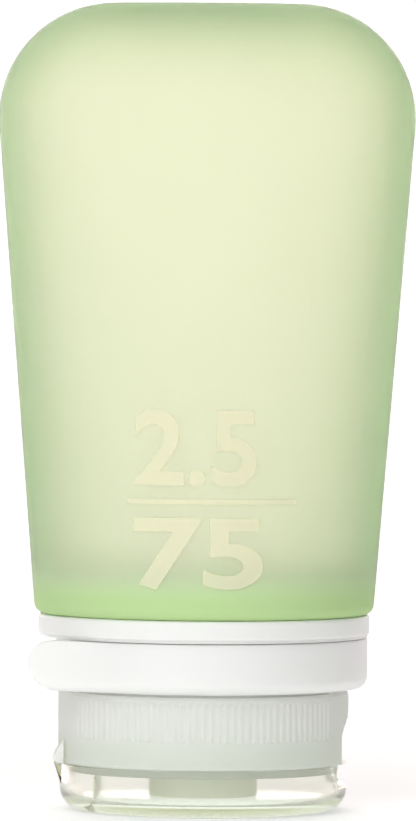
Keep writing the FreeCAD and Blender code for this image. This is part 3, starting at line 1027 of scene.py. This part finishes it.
@dataclass
class Collar:
    """The white collar: a threaded tube with a hub, the ring above it and the hang strap."""

    collar_bore: float = 15.5
    thread_root: float = 17.0
    thread_crest: float = 17.8
    thread_pitch: float = 5.0
    thread_foot: float = 1.7
    thread_tip: float = 0.8
    thread_start: float = 10.3
    thread_start_angle: float = 200.0
    thread_turns: float = 0.85
    thread_overlap: float = 0.3
    thread_edge: float = 0.1
    collar_edge: float = 0.3
    bore_edge: float = 0.2
    hub_bore: float = 18.2
    hub_radius: float = 19.95
    ring_bore: float = 20.25
    ring_height: float = 2.6
    ring_edge: float = 0.5
    rim_gap: float = 0.1
    loop_bore: float = 20.2
    loop_radius: float = 22.1
    loop_round: float = 1.6
    loop_edge: float = 0.25
    tab_lean: float = 30.0
    tab_length: float = 14.4
    tab_tip_share: float = 0.04
    hinge_angle: float = 22.0
    film_angle: float = 1.2
    lug_angle: float = 20.0
    film_inset: float = 0.3
    film_thickness: float = 0.3
    collar_steps: int = 160
    thread_steps: int = 120
    ring_steps: int = 192
    lug_steps: int = 16
    film_steps: int = 3
    strap_steps: int = 96
    tab_steps: int = 6
    tab_tip_steps: int = 14

    def __post_init__(self) -> None:
        """Read the places that the frame gives."""
        low, high = in_mm("threaded_collar")
        self.collar_low, self.hub_top = low.z, high.z
        self.hub_low = in_mm("hang_loop")[0].z
        _, ring_high = in_mm("collar_ring")
        self.shoulder = ring_high.z
        self.ring_radius = ring_high.y
        self.ring_low = self.shoulder - self.ring_height

    def build(self, white: bpy.types.Material) -> None:
        """Make the collar's three pieces.

        Args:
            white: Their finish.
        """
        self.build_threaded_collar(white)
        self.build_ring(white)
        self.build_strap(white)

    def build_threaded_collar(self, white: bpy.types.Material) -> None:
        """Make the tube with its hub and a right-hand thread.

        Args:
            white: Its finish.
        """
        shape = Shape().lathe([
            (self.collar_bore, self.collar_low, self.bore_edge),
            (self.thread_root, self.collar_low, self.collar_edge),
            (self.thread_root, self.hub_low),
            (self.hub_radius, self.hub_low, self.collar_edge),
            (self.hub_radius, self.hub_top, self.bore_edge),
            (self.hub_bore, self.hub_top, self.bore_edge),
            (self.hub_bore, self.hub_low + HUB_FLOOR),
            (self.collar_bore, self.hub_low + HUB_FLOOR),
        ], self.collar_steps)
        core = self.thread_root - self.thread_overlap
        thread = Shape()
        thread.sweep([
            (core, self.thread_start - self.thread_foot / 2),
            (self.thread_crest, self.thread_start - self.thread_tip / 2, self.thread_edge),
            (self.thread_crest, self.thread_start + self.thread_tip / 2, self.thread_edge),
            (core, self.thread_start + self.thread_foot / 2),
        ], self.thread_start_angle, 360.0 * self.thread_turns, self.thread_steps,
            self.thread_pitch * self.thread_turns)
        shape.join(thread.tidy(), Join.ADD)
        made = shape.piece("threaded_neck", white, Slot.WHITE_PLASTIC)
        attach(made, Body.BOTTLE.value)
        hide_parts("threaded_collar")

    def build_ring(self, white: bpy.types.Material) -> None:
        """Make the ring, with a rim that fills the slot and the lug that carries the strap.

        Args:
            white: Its finish.
        """
        shape = Shape().lathe([
            (self.ring_bore, self.hub_top + self.rim_gap),
            (self.loop_radius, self.hub_top + self.rim_gap),
            (self.loop_radius, self.ring_low),
            (self.ring_radius, self.ring_low, self.loop_edge),
            (self.ring_radius, self.shoulder, self.ring_edge),
            (self.ring_bore, self.shoulder),
        ], self.ring_steps)
        lug_top = self.ring_low + self.ring_edge
        lug = Shape()
        lug.sweep([
            (self.ring_bore, self.hub_low),
            (self.loop_radius, self.hub_low, self.loop_round),
            (self.loop_radius, lug_top),
            (self.ring_bore, lug_top),
        ], self.hinge_angle + self.film_angle, self.lug_angle, self.lug_steps)
        middle = self.loop_radius - self.film_inset
        inner, outer = middle - self.film_thickness / 2, middle + self.film_thickness / 2
        film_low = self.hub_low + self.loop_edge
        film = Shape()
        film.sweep([
            (inner, film_low), (outer, film_low), (outer, self.hub_top), (inner, self.hub_top),
        ], self.hinge_angle, 2.0 * self.film_angle, self.film_steps)
        shape.join(lug.tidy(), Join.ADD).join(film.tidy(), Join.ADD)
        made = shape.piece("ring", white, Slot.WHITE_PLASTIC)
        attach(made, Body.BOTTLE.value)
        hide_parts("collar_ring")

    def build_strap(self, white: bpy.types.Material) -> None:
        """Make the strap, which runs from its film round the right and the front to its pull tab.

        Args:
            white: Its finish.
        """
        shape = Shape()
        middle = (self.hub_low + self.hub_top) / 2
        half = (self.hub_top - self.hub_low) / 2
        start = self.hinge_angle - self.film_angle
        leave = -90.0 - self.tab_lean
        end = shape.sweep([
            (self.loop_bore, self.hub_low, self.loop_edge),
            (self.loop_radius, self.hub_low, self.loop_round),
            (self.loop_radius, self.hub_top, self.loop_edge),
            (self.loop_bore, self.hub_top, self.loop_edge),
        ], start, leave - start, self.strap_steps)
        along = -facing(math.radians(leave + 90.0))
        straight = self.tab_length - half
        reaches = [straight * (step + 1) / self.tab_steps for step in range(self.tab_steps)]
        reaches += [straight + half * math.sin(math.pi / 2 * (step + 1) / self.tab_tip_steps)
                    for step in range(self.tab_tip_steps)]
        gone, tall = 0.0, 1.0
        for reach in reaches:
            grown = bmesh.ops.extrude_face_region(shape.mesh, geom=end)["geom"]
            bmesh.ops.delete(shape.mesh, geom=end, context="FACES_ONLY")
            moved = only(BMVert, grown)
            bmesh.ops.translate(shape.mesh, verts=moved, vec=along * (reach - gone))
            share = min(max((reach - straight) / half, 0.0), 1.0)
            now = max(math.sqrt(1.0 - share * share), self.tab_tip_share)
            for point in moved:
                point.co.z = middle + (point.co.z - middle) * now / tall
            gone, tall, end = reach, now, only(BMFace, grown)
        made = shape.tidy().piece("strap", white, Slot.WHITE_PLASTIC)
        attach(made, Body.LOOP.value)
        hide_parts("hang_loop")


# Cap and lid

@dataclass
class ScrewCap:
    """The cap base: fluted skirt, deck with the orifice, thumb scoop and half of the hinge."""

    orifice: float = 3.6
    orifice_edge: float = 0.3
    fine_edge: float = 0.2
    deck_radius: float = 18.2
    deck_thickness: float = 1.4
    deck_drop: float = 1.2
    radius: float = 19.6
    skirt_bore: float = 18.1
    foot_edge: float = 0.3
    rim_edge: float = 0.45
    pocket_bore: float = 7.0
    pocket_wall: float = 1.2
    pocket_rise: float = 2.8
    pocket_edge: float = 0.15
    flute_radius: float = 0.45
    flute_depth: float = 0.22
    flute_height: float = 5.3
    flute_margin: float = 0.7
    flute_arc: float = 116.0
    flute_count: int = 40
    scoop_depth: float = 0.95
    scoop_top: float = 13.4
    scoop_slope: float = 3.3
    hinge_reach: float = 0.45
    hinge_rise: float = 0.65
    hinge_bead: float = 0.3
    hinge_edge: float = 0.08
    hinge_width: float = 15.0
    hinge_root: float = 0.65
    hinge_slope: float = 2.6
    steps: int = 968
    flute_end_steps: int = 5
    flute_steps: int = 6
    foot_steps: int = 4

    def __post_init__(self) -> None:
        """Read the places that the frame gives."""
        low, high = in_mm("screw_cap")
        self.deck_low, self.rim = low.z, high.z
        self.foot = self.deck_low + self.deck_drop
        self.deck_top = self.deck_low + self.deck_thickness
        self.flute_high = self.rim - self.flute_margin
        self.flute_low = self.flute_high - self.flute_height
        self.hinge_x = -(self.radius + self.hinge_reach)
        self.hinge_z = self.foot + self.hinge_rise

    @property
    def flute_reach(self) -> float:
        """How far a flute's round end reaches up or down from its last full depth."""
        rest = self.flute_radius - self.flute_depth
        return math.sqrt(self.flute_radius ** 2 - rest ** 2)

    def wall_levels(self) -> list[Corner]:
        """List the heights of the outer wall that the flutes' round ends need.

        Returns:
            Profile corners up the outer wall.
        """
        def between(start: float, end: float, steps: int) -> list[float]:
            """List the heights that part a stretch into even steps."""
            return [start + (end - start) * step / steps for step in range(1, steps)]

        reach, steps = self.flute_reach, self.flute_end_steps
        ends = [reach * math.sin(math.pi / 2 * step / steps) for step in range(steps + 1)]
        low = [self.flute_low + reach - end for end in ends[::-1]]
        high = [self.flute_high - reach + end for end in ends]
        below = between(self.foot, self.flute_low, self.foot_steps)
        middle = between(low[-1], high[0], self.flute_steps)
        return [(self.radius, height) for height in below + low + middle + high]

    def worked(self, point: Vector) -> Vector:
        """Cut the flutes and the thumb scoop into the outer wall.

        Args:
            point: A point of the plain turned cap.

        Returns:
            Where it lies on the finished cap.
        """
        out = math.hypot(point.x, point.y)
        if out < (self.radius + self.skirt_bore) / 2 or point.z < self.foot:
            return point
        turn = math.degrees(math.atan2(point.y, point.x))
        pitch = self.flute_arc / (self.flute_count - 1)
        # The flutes at the back are those at the front turned by half a turn.
        from_front = (turn + 90.0 + 180.0) % 180.0
        from_front = from_front - 180.0 if from_front > 90.0 else from_front
        if abs(from_front) < (self.flute_arc + pitch) / 2:
            place = from_front / pitch + (self.flute_count - 1) / 2
            aside = (place - round(place)) * math.radians(pitch) * self.radius
            beyond = self.flute_reach + max(self.flute_low - point.z, point.z - self.flute_high)
            clear = self.flute_radius ** 2 - aside ** 2 - max(beyond, 0.0) ** 2
            depth = math.sqrt(max(clear, 0.0)) - (self.flute_radius - self.flute_depth)
            if depth > 0.0:
                shrink = (out - depth) / out
                point = Vector((point.x * shrink, point.y * shrink, point.z))
        share = min(max((self.scoop_top - point.z) / self.scoop_slope, 0.0), 1.0)
        limit = self.radius - self.scoop_depth * share * share * (3.0 - 2.0 * share)
        return Vector((min(point.x, limit), point.y, point.z))

    def build(self, natural: bpy.types.Material) -> None:
        """Make the cap.

        Args:
            natural: Its finish.
        """
        pocket_radius = self.pocket_bore + self.pocket_wall
        pocket_top = self.deck_top + self.pocket_rise
        shape = Shape().lathe([
            (self.orifice, self.deck_low, self.orifice_edge),
            (self.deck_radius, self.deck_low, self.fine_edge),
            (self.deck_radius, self.foot),
            (self.radius, self.foot, self.foot_edge),
            *self.wall_levels(),
            (self.radius, self.rim, self.rim_edge),
            (self.skirt_bore, self.rim, self.fine_edge),
            (self.skirt_bore, self.deck_top),
            (pocket_radius, self.deck_top),
            (pocket_radius, pocket_top, self.pocket_edge),
            (self.pocket_bore, pocket_top, self.pocket_edge),
            (self.pocket_bore, self.deck_top),
            (self.orifice, self.deck_top, self.orifice_edge),
        ], self.steps)
        shape.bend(self.worked)
        root = -(self.skirt_bore + self.hinge_root)
        half_bead = self.hinge_bead / 2
        arm = Shape().prism([
            (self.hinge_x - half_bead, self.hinge_z - half_bead, self.hinge_edge),
            (root, self.foot),
            (root, self.hinge_z + self.hinge_slope),
            (self.hinge_x - half_bead, self.hinge_z + half_bead, self.hinge_edge),
        ], self.hinge_width)
        made = shape.join(arm, Join.ADD).piece("cap_base", natural, Slot.NATURAL_PLASTIC)
        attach(made, Body.CAP.value)
        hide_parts("screw_cap")


@dataclass
class FlipLid:
    """The clear lid: shallow cup, seal boss, inner wall, thumb lip and half of the hinge."""

    cap: ScrewCap
    radius: float = 19.4
    wall: float = 1.05
    plate: float = 1.6
    edge: float = 3.0
    inner_round: float = 1.6
    rim_edge: float = 0.15
    boss_radius: float = 7.3
    boss_wall: float = 1.0
    boss_edge: float = 0.2
    root_round: float = 0.3
    plug_radius: float = 3.35
    plug_wall: float = 1.0
    plug_depth: float = 0.8
    plug_edge: float = 0.35
    running_gap: float = 0.15
    hinge_gap: float = 0.1
    partition_offset: float = 14.3
    partition_wall: float = 0.25
    partition_width: float = 20.0
    partition_height: float = 3.2
    partition_edge: float = 0.1
    notch_angle: float = 44.0
    lip_outer: float = 3.25
    lip_inner: float = 4.1
    height: float = 6.35
    steps: int = 720
    boss_steps: int = 160

    def worked(self, point: Vector) -> Vector:
        """Lower the rim over the thumb lip.

        Args:
            point: A point of the plain turned lid.

        Returns:
            Where it lies on the finished lid.
        """
        bore = self.radius - self.wall
        out = math.hypot(point.x, point.y)
        turn = math.degrees(math.atan2(point.y, point.x))
        if out < bore - self.running_gap or abs(turn) > self.notch_angle / 2:
            return point
        share = (out - bore) / self.wall
        limit = self.lip_inner + share * (self.lip_outer - self.lip_inner)
        return Vector((point.x, point.y, min(point.z, limit)))

    def build(self, clear: bpy.types.Material, matt: bpy.types.Material) -> None:
        """Make the lid.

        Args:
            clear: Its finish.
            matt: The finish of the seal boss and the inner wall.
        """
        bore = self.radius - self.wall
        boss_bore = self.boss_radius - self.boss_wall
        boss_top = self.cap.deck_low - self.running_gap
        plug_bore = self.plug_radius - self.plug_wall
        plug_top = self.cap.deck_low + self.plug_depth
        shape = Shape().lathe([
            (0.0, 0.0),
            (self.radius, 0.0, self.edge),
            (self.radius, self.lip_outer),
            (self.radius, self.height, self.rim_edge),
            (bore, self.height, self.rim_edge),
            (bore, self.lip_inner),
            (bore, self.plate, self.inner_round),
            (0.0, self.plate),
        ], self.steps, closed=False)
        shape.bend(self.worked)
        boss = Shape().lathe([
            (0.0, self.plate / 2),
            (self.boss_radius, self.plate / 2),
            (self.boss_radius, boss_top, self.boss_edge),
            (boss_bore, boss_top, self.boss_edge),
            (boss_bore, self.plate, self.root_round),
            (self.plug_radius, self.plate, self.root_round),
            (self.plug_radius, plug_top, self.plug_edge),
            (plug_bore, plug_top, self.boss_edge),
            (plug_bore, self.plate, self.root_round),
            (0.0, self.plate),
        ], self.boss_steps, closed=False)
        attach(boss.piece("seal_boss", matt, Slot.CLEAR_PLASTIC), Body.LID.value)
        far = -(self.partition_offset + self.partition_wall / 2)
        near = far + self.partition_wall
        partition_top = self.plate + self.partition_height
        partition = Shape().prism([
            (far, self.plate / 2),
            (near, self.plate / 2),
            (near, partition_top, self.partition_edge),
            (far, partition_top, self.partition_edge),
        ], self.partition_width)
        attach(partition.piece("lid_wall", matt, Slot.CLEAR_PLASTIC), Body.LID.value)
        cap = self.cap
        root = -(bore + cap.hinge_root)
        arm = Shape().prism([
            (cap.hinge_x, cap.hinge_z - cap.hinge_bead - self.hinge_gap, cap.hinge_edge),
            (root, self.height - cap.hinge_slope),
            (root, self.height),
            (-cap.radius, self.height),
        ], cap.hinge_width)
        made = shape.join(arm, Join.ADD).piece("lid", clear, Slot.CLEAR_PLASTIC)
        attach(made, Body.LID.value)
        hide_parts("flip_lid")


# Valve

@dataclass
class Valve:
    """The slit valve behind the orifice and the ring that holds it."""

    edge: float = 0.1
    membrane_radius: float = 4.6
    hollow: float = 0.5
    slit_length: float = 3.8
    slit_width: float = 0.12
    slit_overrun: float = 1.0
    retainer_bore: float = 4.8
    retainer_edge: float = 0.15
    retainer_mouth: float = 0.4
    bowl_steps: int = 10
    steps: int = 96
    retainer_steps: int = 120

    def build(self, silicone: bpy.types.Material, natural: bpy.types.Material) -> None:
        """Make the valve and its retainer.

        Args:
            silicone: The valve's finish.
            natural: The retainer's finish.
        """
        low, high = in_mm("slit_valve")
        shares = [step / self.bowl_steps for step in range(self.bowl_steps + 1)]
        bowl = [(self.membrane_radius * share, low.z + self.hollow * (1.0 - share ** 2))
                for share in shares]
        valve = Shape().lathe([
            *bowl,
            (high.x, low.z, self.edge),
            (high.x, high.z, self.edge),
            (0.0, high.z),
        ], self.steps, closed=False)
        foot, top = low.z - self.slit_overrun, high.z + self.slit_overrun
        sizes = (self.slit_length, self.slit_width)
        for length, width in (sizes, sizes[::-1]):
            half = length / 2
            cutter = Shape().prism([(-half, foot), (half, foot), (half, top), (-half, top)], width)
            valve.join(cutter, Join.CUT)
        made = valve.piece("valve", silicone, Slot.VALVE_SILICONE)
        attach(made, Body.CAP.value)
        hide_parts("slit_valve")
        low, high = in_mm("valve_retainer")
        held = Shape().lathe([
            (self.retainer_bore, low.z, self.retainer_edge),
            (high.x, low.z, self.retainer_edge),
            (high.x, high.z, self.retainer_edge),
            (self.retainer_bore, high.z, self.retainer_mouth),
        ], self.retainer_steps).piece("retainer", natural, Slot.NATURAL_PLASTIC)
        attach(held, Body.CARRIER.value)
        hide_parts("valve_retainer")


# Studio

@dataclass(frozen=True)
class Wall:
    """One side of the room that gives light, brightest straight towards it.

    Its light fades to nothing where the cosine of the angle away from it falls to its edge.
    """

    towards: tuple[float, float, float]
    colour: str
    bright: float
    edge: float
    falloff: Falloff = Falloff.EVEN


@dataclass
class Studio:
    """A white sweep of floor under soft light, seen through a long lens."""

    image_height_px: float = 821.0
    mm_per_px: float = 0.135
    camera_distance: float = 1050.0
    camera_height: float = 80.0
    aim: tuple[float, float] = (0.35, 53.9)
    roll_degrees: float = 0.4
    sensor_mm: float = 24.0
    view_depth: float = 100_000.0
    backdrop: str = "#ffffff"
    backdrop_strength: float = 1.1
    floor_radius: float = 6000.0
    floor_segments: int = 96
    floor_colour: str = "#f4f6f5"
    floor_roughness: float = 0.9
    floor_glow: float = 0.4
    key_strength: float = 0.6
    key_size: float = 900.0
    key_place: tuple[float, float, float] = (-900.0, -1300.0, 1100.0)
    walls: tuple[Wall, ...] = (
        Wall((-0.26, -0.97, 0.1), "#ffffff", 2.3, 0.3),
        Wall((0.0, 1.0, 0.15), "#ffeff2", 2.35, 0.35, Falloff.SOFT),
    )

    def build(self) -> None:
        """Make the floor, the light and the camera."""
        self.build_floor()
        self.build_light()
        self.build_camera()

    def build_floor(self) -> None:
        """Make a pale round floor, far wider than the view."""
        shape = bmesh.new()
        bmesh.ops.create_circle(shape, cap_ends=True, segments=self.floor_segments,
                                radius=self.floor_radius * MM)
        mesh = bpy.data.meshes.new("floor")
        shape.to_mesh(mesh)
        shape.free()
        material = bpy.data.materials.new("white_paper_sweep")
        tree = empty_tree(material)
        white = linear(self.floor_colour)
        shader = add_node(tree, "ShaderNodeBsdfPrincipled", {
            "Base Color": white, "Roughness": self.floor_roughness,
            "Emission Color": white, "Emission Strength": self.floor_glow,
        })
        add_node(tree, "ShaderNodeOutputMaterial", {"Surface": shader.outputs["BSDF"]})
        mesh.materials.append(material)
        floor = put("floor", mesh)

    def build_light(self) -> None:
        """Light the room from its walls, with a key lamp on the left."""
        world = bpy.data.worlds.new("studio")
        bpy.context.scene.world = world
        tree = empty_tree(world)
        way = add_node(tree, "ShaderNodeTexCoord", {}).outputs["Generated"]
        light = None
        for wall in self.walls:
            towards = add_node(tree, "ShaderNodeVectorMath", {
                0: way, 1: Vector(wall.towards).normalized(),
            }, operation="DOT_PRODUCT")
            strength = add_node(tree, "ShaderNodeMapRange", {
                "Value": towards.outputs["Value"], "From Min": wall.edge, "To Max": wall.bright,
            }, interpolation_type=wall.falloff.value)
            glow = add_node(tree, "ShaderNodeBackground", {
                "Color": linear(wall.colour), "Strength": strength.outputs["Result"],
            }).outputs["Background"]
            light = glow if light is None else add_node(
                tree, "ShaderNodeAddShader", {0: light, 1: glow}).outputs["Shader"]
        seen = add_node(tree, "ShaderNodeBackground", {
            "Color": linear(self.backdrop), "Strength": self.backdrop_strength,
        })
        path = add_node(tree, "ShaderNodeLightPath", {})
        both = add_node(tree, "ShaderNodeMixShader", {
            0: path.outputs["Is Camera Ray"], 1: light, 2: seen.outputs["Background"],
        })
        add_node(tree, "ShaderNodeOutputWorld", {"Surface": both.outputs["Shader"]})
        lamp = bpy.data.lights.new("key", "AREA")
        lamp.shape = "DISK"
        lamp.size = self.key_size * MM
        lamp.energy = self.key_strength
        key = put("key", lamp)
        key.location = Vector(self.key_place) * MM
        aim = Vector((0.0, 0.0, self.aim[1])) * MM
        key.rotation_euler = (aim - key.location).to_track_quat("-Z", "Y").to_euler()

    def build_camera(self) -> None:
        """Set the camera to the photograph's view."""
        lens = bpy.data.cameras.new("camera")
        lens.sensor_fit = "VERTICAL"
        lens.sensor_height = self.sensor_mm
        lens.lens = self.sensor_mm * self.camera_distance / (self.image_height_px * self.mm_per_px)
        lens.clip_end = self.view_depth * MM
        camera = put("camera", lens)
        camera.location = Vector((self.aim[0], -self.camera_distance, self.camera_height)) * MM
        target = Vector((self.aim[0], 0.0, self.aim[1])) * MM
        look = (target - camera.location).to_track_quat("-Z", "Y")
        roll = Quaternion((0.0, 0.0, 1.0), math.radians(self.roll_degrees))
        camera.rotation_euler = (look @ roll).to_euler()
        bpy.context.scene.camera = camera
        bpy.context.scene.view_settings.view_transform = "Standard"


def main() -> None:
    """Build the studio and every piece of the bottle."""
    logging.basicConfig(level=logging.INFO, format="%(name)s %(message)s")
    white = WHITE_POLYPROPYLENE.build()
    natural = NATURAL_POLYPROPYLENE.build()
    Studio().build()
    tube = SiliconeTube()
    tube.build(FROSTED_SILICONE.build())
    LevelMark(tube).build(POLISHED_SILICONE.build())
    Collar().build(white)
    cap = ScrewCap()
    cap.build(natural)
    FlipLid(cap).build(CLEAR_POLYPROPYLENE.build(), MATT_POLYPROPYLENE.build())
    Valve().build(VALVE_RUBBER.build(), natural)


if __name__ == "__main__":
    main()
